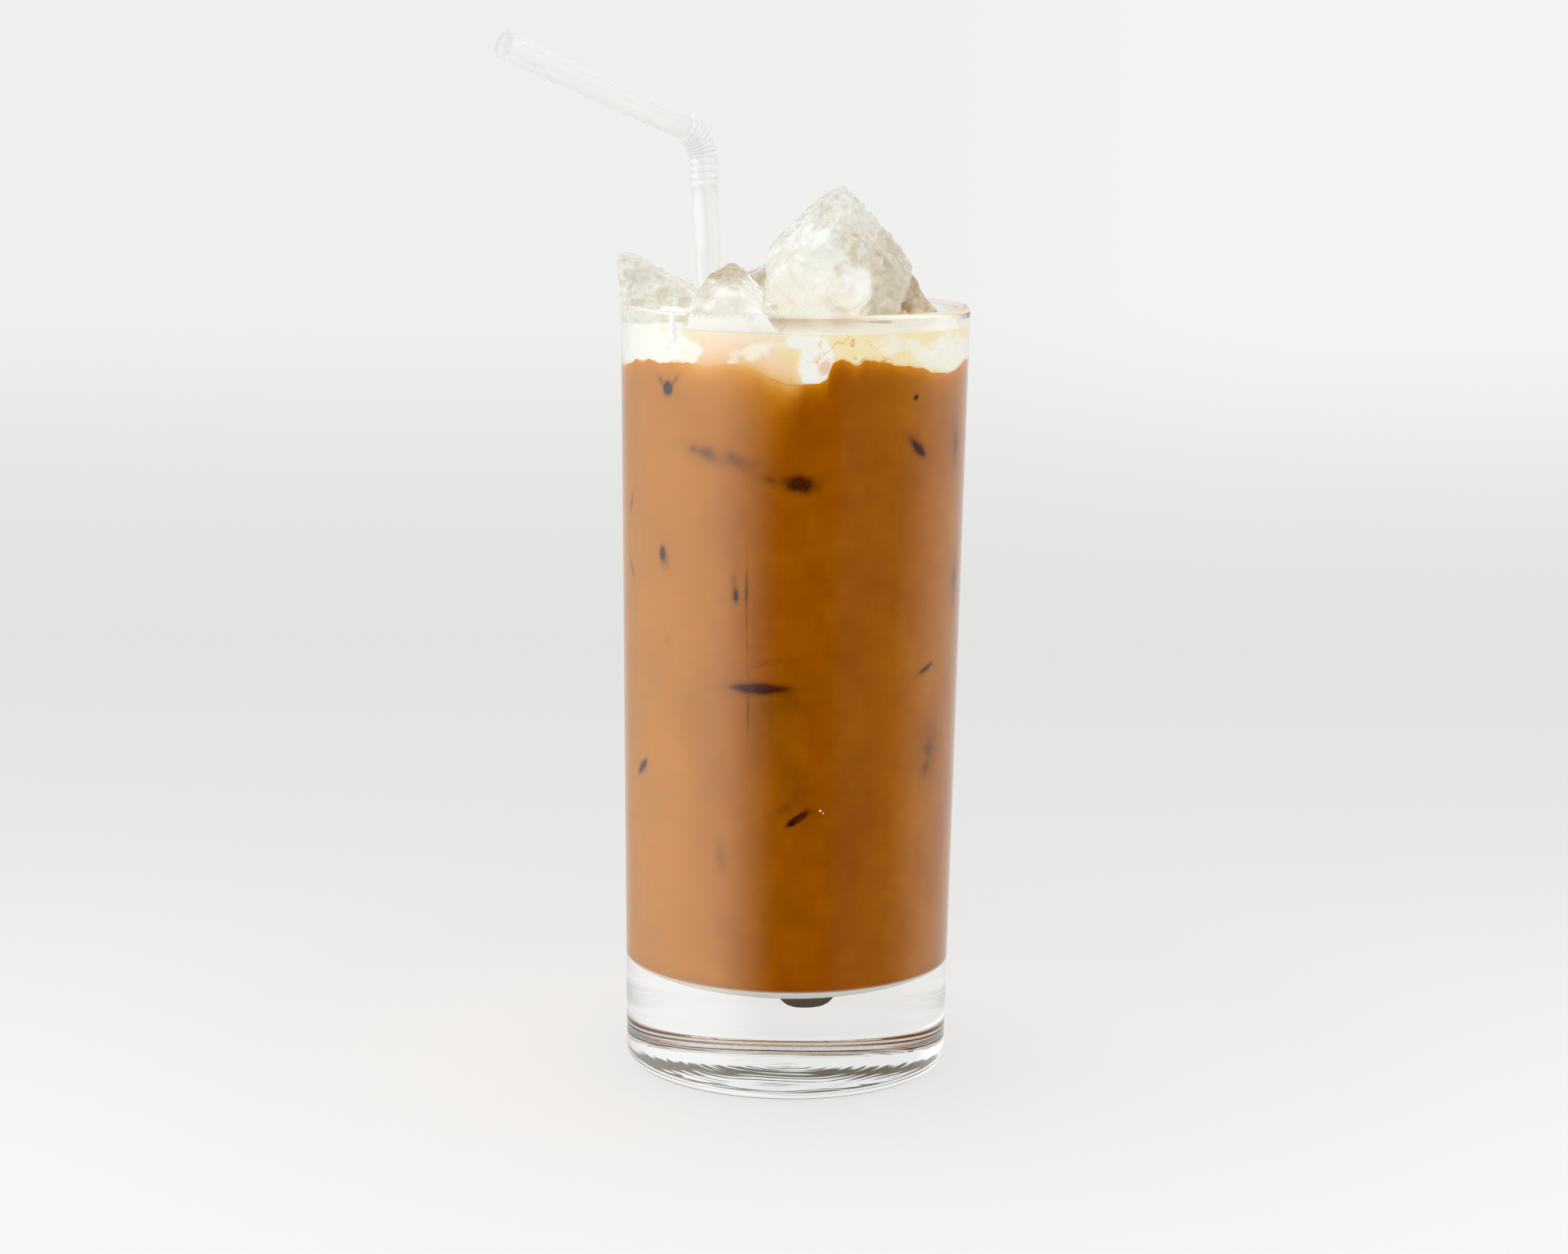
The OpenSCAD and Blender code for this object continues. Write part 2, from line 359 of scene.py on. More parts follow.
material, start = new_material("pale table")
where = places(start)
away = where.axis(1)
# Painted shade and light: the table's colour darkens towards the back, as the light on it falls off, and
# turns lighter round the glass's foot, over its shadow
tone = away.rise(-0.12, 0.26).between((0.865, 0.865, 0.86, 1), (0.72, 0.72, 0.708, 1))
round_foot = where.node("ShaderNodeVectorMath", {"operation": "LENGTH"}, {0: where}, out="Value")
tone = round_foot.rise(0.03, 0.12, 0.5, 0).between(tone, (0.93, 0.94, 0.945, 1))
paper = start.node("ShaderNodeBsdfDiffuse", None, {"Color": tone})
far_tone = away.rise(0.3, 2.0).between((0.762, 0.762, 0.75, 1), BACKDROP)
side = where.axis(0)
aside = side / (away + 0.64).most(0.3)
far_tone = (aside.rise(0.0, 0.16) * away.rise(0.4, 2.5)).between(far_tone, BACKDROP_LIT_RIGHT)
far_wall = start.node("ShaderNodeEmission", None, {"Color": far_tone})
finish_material(material, start.blend(away.rise(0.2, 0.5), paper, far_wall))
table.data.materials.append(material)

# %% Studio light
world = bpy.data.worlds.new("studio")
bpy.context.scene.world = world
world.use_nodes = True
world.node_tree.nodes.clear()
start = Wire(world.node_tree)
ray = start.node("ShaderNodeTexCoord", out="Generated")
x, y, z = (ray.axis(i) for i in range(3))
left_turn = x.sum("ARCTAN2", -x, -y) * (180 / math.pi)
GAP_FROM, GAP_TO = 0.33, 0.45
GAP_TONE = (0.18, 0.155, 0.115, 1)
LEFT_LIGHT, RIGHT_LIGHT, TOP_LIGHT, BACK_LIGHT, ROOM_GLOW = 2.5, 0.72, 1.15, 0.85, 0.78
left = left_turn.rise(7, 57) * left_turn.rise(75, 150, 1, 0.3) * LEFT_LIGHT
right = (-left_turn).rise(68, 114) * RIGHT_LIGHT + (-left_turn).rise(22, 40) * 0.12
sides = left.most(right) * z.rise(0.65, 0.95, 1, 0)
sky = sides.most(z.rise(0.55, 0.95) * TOP_LIGHT)
soft = z.rise(-0.1, 1.0) * 0.34 - x * 0.1 + 0.86
see_back = y.rise(-0.2, 0.3) * BACK_LIGHT
gap = z.rise(GAP_FROM - 0.015, GAP_FROM + 0.015) * z.rise(GAP_TO - 0.02, GAP_TO + 0.02, 1, 0)
gap = gap * y.rise(0.1, 0.4)
path = start.node("ShaderNodeLightPath", out="Is Camera Ray")
through = Wire(world.node_tree, path.socket.node.outputs["Is Transmission Ray"])
mirrored = Wire(world.node_tree, path.socket.node.outputs["Is Glossy Ray"])
strength = mirrored.node("ShaderNodeMix", None, {0: mirrored, 2: soft, 3: sky})
light = start.node("ShaderNodeBackground", None, {"Color": (1, 1, 1, 1), "Strength": strength})
aside = (x / y.most(0.05)).rise(0.0, 0.16).between(BACKDROP, BACKDROP_LIT_RIGHT)
round_room = y.rise(0.0, 0.06).between((0.975, 0.975, 0.97, 1), aside)
backdrop = start.node("ShaderNodeBackground", None, {"Color": round_room})
behind = start.node("ShaderNodeBackground", None, {
    "Color": gap.between((1, 1, 0.99, 1), GAP_TONE), "Strength": sky.most(see_back).most(ROOM_GLOW)})
seen = start.blend(through, light, behind)
seen = start.blend(path, seen, backdrop)
start.node("ShaderNodeOutputWorld", None, {"Surface": seen})
bpy.context.scene.cycles.max_bounces = 20
bpy.context.scene.cycles.transmission_bounces = 20
bpy.context.scene.cycles.transparent_max_bounces = 24
print("camera", CAMERA_AT, "lens", LENS)

# %% [markdown]
# ## The glass
#
# A pressed tumbler has a thick floor, dished inside, with a small round mark where it left the
# mould, a hollow underside, and a lip melted to a full round. One closed outline turned about the
# axis gives the whole body. The mark lies a little off the axis, so it is pushed into the floor
# afterwards, as a small bowl worked out from each point's distance to its middle.
# %% Outline of the glass
def marked(x, y, z):
    """Lowers z by the bowl of the round mark, flat in the middle and steep at its edge."""
    share = np.hypot(x - MARK["x"], y) / MARK["radius"]
    return z - MARK["depth"] * np.clip(1 - share**4, 0, 1)


def press_mark(rows, count):
    """Pushes the mark into the first rows of a shape, which are its floor."""
    floor = rows[:count]
    floor[..., 2] = marked(floor[..., 0], floor[..., 1], floor[..., 2])


def floor_line(inner, outer, bend):
    """Radius and height from the middle of the floor, over the dish, round the fillet. The stretch
    where the mark lies gets rows of its own."""
    near = np.linspace(0, MARK_SPAN, inner, endpoint=False)[1:]
    radius = np.concatenate([near, np.linspace(MARK_SPAN, DISH_RADIUS, outer, endpoint=False)])
    dish = np.stack([radius, FLOOR - DISH + DISH * (radius / DISH_RADIUS) ** 2], -1)
    centre = (DISH_RADIUS - FILLET * math.sin(DISH_SLOPE), FLOOR + FILLET * math.cos(DISH_SLOPE))
    return np.vstack([dish, arc(centre, FILLET, math.degrees(DISH_SLOPE) - 90, 0, bend)])


LIP = RIM_WALL / 2
lip_centre = (RIM - LIP, TALL - LIP)
inside = floor_line(30, 18, 12)
wall_z = np.linspace(inside[-1, 1], TALL - LIP, 42)[1:-1]
wall = np.stack([inner_radius(wall_z), wall_z], -1)
lip = arc(lip_centre, LIP, 180, 0, 25)
side_z = np.linspace(TALL - LIP, HEEL, 42)[1:-1]
side = np.stack([outer_radius(side_z), side_z], -1)
heel = arc((outer_radius(HEEL) - HEEL, HEEL), HEEL, 0, -90, 14)
under_radius = FOOT_RING * np.linspace(1, 0, 110, endpoint=False)
under = np.stack([under_radius, UNDERSIDE * (1 - (under_radius / FOOT_RING) ** 2)], -1)
outline = np.vstack([inside, wall, lip, side, heel, under])

turns = circle(256)
rows = ring(outline[:, :1], outline[:, 1:], turns[None])
press_mark(rows, len(inside))
middle = (0, 0, float(marked(0, 0, FLOOR - DISH)))
# Faint rings from the mould on the hollow underside, broken up round the turn
below = rows[-len(under):]
across = np.hypot(below[..., 0], below[..., 1]) / MM
swirl = across + 0.8 * ripples(below, 16 * MM, 12)
mould = np.sin(2 * np.pi * swirl / 1.9) + 0.6 * np.sin(2 * np.pi * swirl / 1.13 + 1)
below[..., 2] += 0.006 * MM * mould * (1 + 0.6 * ripples(below, 7 * MM, 13)) * smooth(-across, -23, -20)
# Painted reflection: a thin brown line on the inside of the lip, from the left round the front, where the
# lip shows the coffee bent through it
at_turn = np.degrees(np.arctan2(rows[..., 0], -rows[..., 1]))
on_lip = np.hypot(rows[..., 0], rows[..., 1]) < RIM - LIP
line = smooth(rows[..., 2], TALL - 1.5 * MM, TALL - 1.1 * MM)
line = line * smooth(-rows[..., 2], 0.6 * MM - TALL, 1.0 * MM - TALL)
film = on_lip * line * smooth(at_turn, -46, -40) * smooth(-at_turn, -38, -12)
film = film * smooth(ripples(rows, 12 * MM, 17), -0.9, 0.2)
tumbler = skin("tumbler", rows[:, ::-1], first=middle, last=(0, 0, UNDERSIDE),
               paint={"film": np.concatenate([film[:, ::-1].ravel(), [0, 0]])})

# %% Clear soda glass
material, start = new_material("clear soda glass")
where = places(start)
stretched = where.node("ShaderNodeMapping", None, {"Vector": where, "Scale": (1, 1, 0.25)})
swell = stretched.noise(45, 2)
mist = where.noise(900, 3, 0.7)
bumps = (swell * 0.9 + mist * 0.012).bump(0.05, 0.001)
# Painted reflection: the film attribute turns the glass brown along the lip
tint = attribute(start, "film").between((0.985, 0.995, 0.99, 1), (0.42, 0.25, 0.11, 1))
body = principled(start, Base_Color=tint, Roughness=0.0, IOR=1.5, Transmission_Weight=1.0, Normal=bumps)
soda_glass = finish_material(material, clear(start, body, (0.97, 0.98, 0.975)))
dress(tumbler, soda_glass, "glass", "glass")

# %% [markdown]
# ## The shapes of broken ice
#
# Broken ice has a few flat faces with melted, rounded edges. Each chunk is a list of faces: the way
# the face looks and its distance from the middle. Adding the faces' pull with a high power gives
# one number, `pull`, that is 1 on a surface like that, less inside and more outside. The same sum
# shapes the chunk, and `pull` tells how near any other point lies, which the cream needs further on.
# %% Chunks as lists of faces
# Powers of the mean, for pull and for the chunk's own surface. A lower one rounds the edges more
CRISP = 9
EDGE = 13


def way(turn, rise):
    """Unit vector at a turn round the glass and a rise above the level, both in degrees."""
    turn, rise = np.radians(turn), np.radians(rise)
    return np.array([np.cos(rise) * np.sin(turn), -np.cos(rise) * np.cos(turn), np.sin(rise)])


def all_ways(n, rise):
    """Unit vectors in rows, one row for each rise, n turns round."""
    return np.moveaxis(way(circle(n)[None] * 180 / np.pi, rise + 0 * circle(n)[None]), 0, -1)


class Chunk:
    """A chunk of ice: its middle and size in mm from the middle of the rim, and its faces, each
    [turn, rise, distance as a share of half the size]."""

    def __init__(self, middle, size, faces):
        self.middle = np.array(middle) * MM + (0, 0, TALL)
        self.ways = np.array([way(turn, rise) / share for turn, rise, share in faces])
        self.half = size / 2 * MM

    def pull(self, points):
        """1 on the surface: the faces' distances, joined by a power mean that rounds the edges."""
        along = np.maximum(0, (points - self.middle) @ self.ways.T / self.half)
        return (along**CRISP).sum(-1) ** (1 / CRISP)

    def rows(self, n, k):
        """The surface as k rows of n points from the bottom up, and the ways they look."""
        ways = all_ways(n, np.linspace(-90, 90, k)[:, None])
        along = np.maximum(0, ways @ self.ways.T)
        length = self.half * (along**EDGE).sum(-1) ** (-1 / EDGE)
        return self.middle + ways * length[..., None], ways


RIM_MM = RIM / MM
ICE = {
    "big": Chunk((8, 3, 6), 30, [
        (-88, 3, 0.93), (-60, 44, 0.76), (68, 37, 0.76), (88, -22, 0.92), (4, 14, 0.78),
        (-20, -25, 0.8), (178, 8, 0.74), (-140, 35, 0.85), (140, 35, 0.8), (0, -90, 1.25)]),
    "right": Chunk((RIM_MM - 16.1, 12, 0), 22, [
        (95, 35, 0.66), (-90, 10, 0.8), (-40, 52, 0.98), (20, 15, 0.65), (180, 10, 0.9),
        (150, 40, 0.85), (0, -90, 1.25)]),
    "left": Chunk((6.6 - RIM_MM, -2, 1), 20, [
        (90, 63, 0.52), (-90, -9, 0.61), (-90, 50, 1.06), (0, -5, 0.8), (180, 5, 0.85),
        (95, -5, 0.9), (-90, -50, 1.1), (0, -90, 1.4)]),
    "front": Chunk((-11.5, 14.6 - RIM_MM, -3), 20, [
        (-85, 12, 0.88), (-78, 45, 0.94), (-50, 66, 1.06), (82, 40, 0.8), (90, -8, 0.98),
        (0, 0, 1.4), (180, 20, 0.75), (-90, -40, 0.95), (0, -90, 1.1)]),
    "back": Chunk((-5, RIM_MM - 14.6, -1.5), 18, [
        (-90, 67, 0.86), (-95, 0, 0.85), (80, 50, 0.9), (0, 10, 0.75), (180, 15, 0.9),
        (90, 15, 0.85), (0, -90, 1.3)]),
}


def keep_inside(points, into_wall):
    """Draws points in to the glass's inner wall, plus into_wall. The limit follows the round of the
    lip and opens over the rim."""
    z = points[..., 2]
    limit = inner_radius(np.minimum(z, TALL - LIP)) + into_wall
    over = np.clip(z - (TALL - LIP), 0, LIP)
    limit = np.where(z > TALL - LIP, RIM - LIP - np.sqrt(LIP**2 - over**2) + into_wall, limit)
    limit = np.where(z > TALL - 0.02 * MM, 1.0, limit)
    far = np.hypot(points[..., 0], points[..., 1])
    share = np.minimum(1, limit / np.maximum(far, 1e-9))
    return np.concatenate([points[..., :2] * share[..., None], points[..., 2:]], -1)


# %% [markdown]
# ## Ice sunk in the coffee
#
# The glass is packed with ice under the cream. The coffee is cloudy with a little milk, so a chunk
# shows only where a corner or an edge comes close to the wall: there the milky film in front of it
# is thin, and the clear ice behind looks dark. What counts is the film's thickness over each point
# of the wall. Round the tip of a chunk it grows as
#
#     film = nearest + steepness * ((s / length)**2 + |t / width|**point)
#
# where s and t are the distances from the tip along the chunk's edge and across it, in mm. Below
# 0 the ice touches the wall and shows crisp and dark; above 0 it fades into the coffee.
# That dark is painted shade: the coffee's colour is darkened over each tip, and a near-black surface is set
# at the tips that come close, in place of the shaded inside of the glass seen through the clear ice.
# %% Tips of sunken ice near the wall, and painted shadows beside them
# Radius in mm for places on the wall, depth in mm of a tip at its edge, and how far one may reach
# into the wall
WALL_MM = 31.5
TIP_DEPTH, TIP_INTO_WALL = 1.6, 0.16
TIP_BACK, TIP_BACK_SHARE = 2.2 * MM, 0.6


class Tip:
    """A corner or an edge of sunken ice near the wall, at a turn in degrees and a height in mm."""

    def __init__(self, turn, height, length, width, tilt=0, nearest=None, steep=0.8, point=1.2, uneven=0.12):
        self.turn, self.height, self.length, self.width = turn, height, length, width
        self.tilt = math.radians(tilt)
        self.nearest = -steep if nearest is None else nearest
        self.steep, self.point, self.uneven = steep, point, uneven

    def film(self, points):
        """Thickness in mm of the coffee between this tip and points of the wall."""
        x, y, z = np.moveaxis(points, -1, 0)
        turn = (np.degrees(np.arctan2(x, -y)) - self.turn + 180) % 360 - 180
        across, up = np.radians(turn) * WALL_MM, z / MM - self.height
        c, s = math.cos(self.tilt), math.sin(self.tilt)
        along, over = (across * c + up * s) / self.length, (up * c - across * s) / self.width
        wobble = self.uneven * rough(points, 4 * MM, int(self.height * 10), 3)
        return self.nearest + self.steep * (along**2 + np.abs(over) ** self.point) + wobble

    def rows(self, n, k):
        """The front of the tip as k rings of n points, out to where it is TIP_DEPTH deep."""
        angle, share = circle(n)[None], np.linspace(0, 1, k + 1)[1:, None]
        far = math.sqrt((TIP_DEPTH - self.nearest) / self.steep) * share
        along, over = far * np.cos(angle) * self.length, far * np.sin(angle) * self.width
        c, s = math.cos(self.tilt), math.sin(self.tilt)
        turn = math.radians(self.turn) + (along * c - over * s) / WALL_MM
        z = (self.height + along * s + over * c) * MM
        points = ring(inner_radius(z), z, turn)
        depth = np.maximum(self.film(points), -TIP_INTO_WALL) * MM
        return ring(inner_radius(z) - depth, z, turn)


# Painted shade: each tip below darkens the coffee; the wide, soft ones at (-6, 77), (-8, 71) and (1, 63) are
# painted shadows under and beside the marks
TIPS = [
    Tip(-11.5, 80.2, 4.8, 0.8, 0, None, 0.9), Tip(-5, 80.3, 4, 0.8, -2, 0.25, 0.7),
    Tip(-6, 77, 6, 2.6, 15, 0.75, 0.5, 2), Tip(3, 55.4, 2.2, 0.62, 34, None, 1.2, 3),
    Tip(-3, 57.2, 2.8, 1.3, 25, 0.5, 0.9), Tip(7, 56.9, 2, 1, -10, 0.5, 0.9),
    Tip(2.4, 118.8, 2.0, 1.0, -15, None, 0.4, 2, 0.3), Tip(-0.5, 119.4, 4.4, 1.1, -3, 0.12, 0.7, 2, 0.5),
    Tip(46.5, 124.6, 2.2, 0.7, -40, None, 1.2), Tip(44, 126, 3.6, 1.2, -36, 0.3, 1.0),
    Tip(-50, 104, 1.3, 0.75, 86, None, 1.0, 2), Tip(-48.8, 103.0, 2.2, 1.2, 95, 0.35, 0.9, 2),
    Tip(-47, 135.4, 1.2, 1.1, 80, None, 1.0, 2), Tip(-50.5, 136.9, 1.3, 0.4, -50, 0, 0.9),
    Tip(-43.5, 137, 1.3, 0.4, 50, 0, 0.9),
    Tip(-20, 99.8, 3.0, 0.6, 88, 0.25, 0.9, 1), Tip(-19.3, 97.6, 1.2, 0.4, 90, None, 0.8, 1.4),
    Tip(54, 82.4, 1.9, 0.28, 20, None, 0.8, 1), Tip(51.5, 81.9, 2, 0.4, 20, 0.35, 0.9, 1),
    Tip(-63.4, 61.7, 2.0, 0.6, 42, None, 1.0, 1.4), Tip(-63, 61.2, 2.6, 1.0, 42, 0.5, 1.0),
    Tip(-25.5, 123.4, 7, 1.6, -10, 0.35, 0.7, 2, 0.3), Tip(-35.5, 124.5, 1.0, 0.8, 0, 0.25, 1.0),
    Tip(-2.5, 85.7, 4.5, 0.3, 4, 0.45, 0.9), Tip(-11, 84.6, 2.4, 0.3, 14, 0.55, 0.9),
    Tip(-15.2, 89, 8.2, 0.045, 91, None, 0.19, 2),
    Tip(57.5, 65.5, 6, 3.2, 85, 0.5, 0.7, 2, 0.25), Tip(-24.6, 47.3, 3, 1.4, 105, 0.65, 0.8, 2),
    Tip(-71, 112.5, 2.4, 0.7, 65, 0.1, 0.9), Tip(-71, 99.6, 2.4, 0.6, -60, 0.1, 0.9),
    Tip(70, 124.5, 4.2, 1.6, 92, 0.25, 0.7, 2), Tip(74, 98.5, 6, 1.8, 88, 0.2, 0.7, 2),
    Tip(-47, 87.3, 1.4, 0.4, -60, 0.45, 1.0), Tip(44.3, 134.4, 0.55, 0.4, 30, None, 1.0, 2),
    Tip(-8, 71, 8, 4, 60, 1.0, 0.6, 2, 0.08), Tip(1, 63, 7, 3, 95, 0.95, 0.6, 2, 0.08),
]
# Round the back, more of them by chance
chance = np.random.default_rng(5)
for turn, height in zip(np.linspace(95, 265, 16), chance.permutation(np.linspace(36, 132, 16))):
    length, width, nearest = chance.uniform(1.5, 5.5), chance.uniform(0.5, 1.5), chance.uniform(-0.8, 0.8)
    tilt, point = chance.uniform(-90, 90), chance.choice([1.2, 2])
    TIPS.append(Tip(turn, height, length, width, tilt, nearest, 0.8, point))

INTO_WALL = 0.1 * MM
near = [tip for tip in TIPS if tip.nearest < 0.1]
sets = []
for tip in near:
    front = tip.rows(64, 16)
    z = tip.height * MM
    back = ring(inner_radius(z) - TIP_BACK, z, math.radians(tip.turn))
    back = back + (front[-1:] - front[-1].mean(0)) * TIP_BACK_SHARE
    centre = front[:1] * 0 + front[0].mean(0)
    sets.append(np.concatenate([centre, front, back, back * 0 + back[0].mean(0)]))
sets = np.array(sets)
height_rows, columns = sets.shape[1:3]
j, i = np.meshgrid(np.arange(height_rows - 1), np.arange(columns), indexing="ij")
one = np.stack([j * columns + i, (j + 1) * columns + i,
                (j + 1) * columns + (i + 1) % columns, j * columns + (i + 1) % columns], -1).reshape(-1, 4)
steps = np.arange(len(sets))[:, None, None] * columns * height_rows
sunken = build("sunken_ice_shade", sets.reshape(-1, 3), (one + steps).reshape(-1, 4), np.zeros((0, 3), int))

# Painted shade: a near-black surface at each tip that comes close to the wall, in place of the shaded inside
# of the glass seen through clear ice
material, start = new_material("ice seen through coffee")
where = places(start)
brown_tone = where.noise(500, 3).rise(0.35, 0.7).between((0.034, 0.008, 0.003, 1), (0.085, 0.017, 0.002, 1))
body = principled(start, Base_Color=brown_tone, Roughness=0.3, Specular_IOR_Level=0.0)
dress(sunken, finish_material(material, body), "ice")


# %% [markdown]
# ## The coffee
#
# Coffee, lightened by the milk that has begun to sink into it. It fills the glass, so its surface
# is made to reach a tenth of a millimetre into the wall: no air is left between. Its colour is
# worked out for each point of the wall: the brew; painted light, which makes it lighter towards
# the left and less so towards the right, where the side lamps fall; an amber band under the
# cream, painted light that glows down through it; and painted shade where a chunk of ice comes near.
# %% Where cream meets coffee
# Turn in degrees and height in mm over the mean, from left to right across the front
FRONT_EDGE = [
    (-90, -1.6), (-82, -2.0), (-68, -0.6), (-57, 0.3), (-48, 0.1), (-41, 0.4), (-34, 0.2), (-27, 0.6),
    (-20, 0.4), (-15, 0.0), (-10, -0.9), (-6, -2.1), (-3, -2.8), (1, -2.9), (4, -2.6), (8, -2.5),
    (10.6, -1.7), (11.6, 0.2), (12.5, 1.4), (16, 1.8), (21, 0.9), (24, 1.6), (30, 1.3), (36, 0.5),
    (42, 0.2), (48, -0.4), (55, -1.5), (61, -1.9), (67, -1.4), (77, 0.2), (90, 0.4)]


def layer_height(turn):
    """Height where cream meets coffee at the wall, for turns in degrees: slow swells, a finer
    ripple, a tongue of cream at the front, and a ragged edge."""
    swells = 1.6 * np.cos(np.radians(5 * (turn - 26))) + 0.5 * np.cos(np.radians(11 * (turn - 8)))
    tongue = 1.8 * np.exp(-(((turn + 1) / 8) ** 2))
    height = swells - tongue
    front = np.interp(turn, *np.array(FRONT_EDGE).T)
    height = height + (front - height) * smooth(90 - np.abs(turn), 0, 14)
    edge = np.stack([np.cos(np.radians(turn)), np.sin(np.radians(turn)), 0 * turn], -1)
    ragged = 0.22 * ripples(edge, 0.14, 3) + 0.12 * ripples(edge, 0.05, 4)
    return LAYER + (height + ragged * (np.abs(turn - 4) > 9)) * MM


def mixed(first, second, share):
    """The colour first where share is 0, and second where it is 1."""
    share = np.asarray(share)[..., None]
    return np.asarray(first) * (1 - share) + np.asarray(second) * share


def opaque(colours):
    """Colours with a fourth number of 1."""
    return np.concatenate([colours, np.ones((len(colours), 1))], -1)


# The brew, the brew lit from the side (painted light), the bands under the cream (the amber one painted
# light), and the painted shade over sunken ice
BREW = (0.300, 0.074, 0.0005)
WARM_BREW = (0.275, 0.057, 0.0002)
LIGHT_BREW = (0.47, 0.150, 0.003)
SIDE_LIT_BREW = (0.530, 0.192, 0.004)
AMBER = (0.78, 0.275, 0.003)
HONEY = (0.86, 0.44, 0.11)
ICE_SHADE = (0.040, 0.009, 0.002)
FILM_FADE = 0.62
# The floor and the mark as the thick base lights them from below, and the top under the cream
FLOOR_TONE = (0.80, 0.79, 0.76)
MARK_TONE = (0.125, 0.090, 0.065)
PALE = (0.93, 0.90, 0.80)


def melting(turn):
    """1 along the stretch at the front left where the cream melts into the coffee without an edge."""
    return smooth(turn, -46, -34) * smooth(-turn, -4, 2)


def brew_colour(points):
    """Colour of the coffee at the wall."""
    x, y, z = np.moveaxis(points, -1, 0)
    turn = np.degrees(np.arctan2(x, -y))
    colour = np.broadcast_to(BREW, points.shape)
    # Painted light: the brew turns lighter towards the left, where the big side lamp falls, less so towards
    # the right, and halfway round the back
    milk = np.where(turn < 20, smooth(-turn, -8, 48), 0.5 * smooth(turn, 15, 62))
    milk = milk + (0.5 - milk) * smooth(np.abs(turn), 100, 180)
    colour = mixed(colour, SIDE_LIT_BREW, np.clip(milk + 0.06 * rough(points, 22 * MM, 11), 0, 1))
    warm = smooth(rough(points * (1, 1, 0.7), 15 * MM, 14, 4), -0.1, 0.9) * (1 - milk)
    colour = mixed(colour, WARM_BREW, 0.35 * warm)
    mottled = smooth(rough(points * (1, 1, 0.8), 9 * MM, 16, 4), -0.4, 1.2) * (1 - milk)
    colour = mixed(colour, LIGHT_BREW, 0.14 * mottled)
    # Painted light: an amber band just under the cream, as light glowing down through it, wider at the front
    # left
    below = (layer_height(turn) - z) / MM
    lit_band = np.exp(-np.maximum(below, 0) / (1.4 + 4.5 * smooth(-turn, -5, 12) * smooth(turn, -45, -25)))
    colour = mixed(colour, AMBER, 0.85 * lit_band)
    colour = mixed(colour, HONEY, 0.9 * melting(turn) * np.exp(-np.maximum(below, 0) / 1.3))
    under = smooth(-z, -FLOOR - 0.2 * FILLET, -FLOOR)
    colour = mixed(colour, FLOOR_TONE, 0.9 * under)
    from_mark = np.hypot(x - MARK["x"], y) / MARK["radius"] + 0.08 * ripples(points, 2 * MM, 15)
    colour = mixed(colour, MARK_TONE, under * smooth(-from_mark, -1.25, -1.0))
    under_cream = smooth(inner_radius(z) - np.hypot(x, y), 0.4 * MM, 1.5 * MM)
    under_cream = under_cream * smooth(z, LAYER + 0.7 * MM, LAYER + 1.4 * MM)
    colour = mixed(colour, PALE, under_cream)
    # Painted shade: each tip darkens the coffee, where clear ice near the wall shows the shaded inside, or
    # where a soft tip stands for a shadow beside a mark
    for tip in TIPS:
        colour = mixed(colour, ICE_SHADE, 0.92 * np.exp(-np.maximum(tip.film(points), 0) / FILM_FADE))
    return colour


INTO_FLOOR = 0.06 * MM
COFFEE_TOP = LAYER + 1.5 * MM
turns = circle(440)
floor = floor_line(24, 8, 8) + (0, -INTO_FLOOR)
floor[:, 0] += np.linspace(0, 1, len(floor)) ** 2 * INTO_WALL
share = np.linspace(0, 1, 182)[1:, None]
top = layer_height(np.degrees((turns + np.pi) % (2 * np.pi) - np.pi)) + 1.7 * MM
wall_z = floor[-1, 1] + share * (top - floor[-1, 1])
rows = np.concatenate([
    ring(floor[:, :1], floor[:, 1:], turns[None]),
    ring(inner_radius(wall_z) + INTO_WALL, wall_z, turns[None]),
    ring(inner_radius(LAYER) * np.array([[0.97], [0.85], [0.4]]), COFFEE_TOP, turns[None]),
])
press_mark(rows, len(floor))
bottom = (0, 0, float(marked(0, 0, FLOOR - DISH)) - INTO_FLOOR)
brew = brew_colour(rows.reshape(-1, 3))
ends = np.array([BREW, PALE])
paint = {"brew": opaque(np.vstack([brew, ends]))}
coffee = skin("coffee_drink", rows, bottom, (0, 0, COFFEE_TOP), paint=paint)

material, start = new_material("cloudy coffee")
where = places(start)
cloud = where.noise(60, 4, 0.62, 0.5)
mottle = where.noise(420, 4, 0.7)
grain = where.noise(2600, 2, 0.7)
tone = attribute(start, "brew", "Color")
shade = (cloud - 0.5) * 0.24 + (mottle - 0.5) * 0.28 + (grain - 0.5) * 0.24 + 1
tone = tone.node("ShaderNodeVectorMath", {"operation": "SCALE"}, {0: tone, "Scale": shade})
body = principled(start, Base_Color=tone, Roughness=0.35, Specular_IOR_Level=0.0)
dress(coffee, finish_material(material, body), "coffee", "coffee")

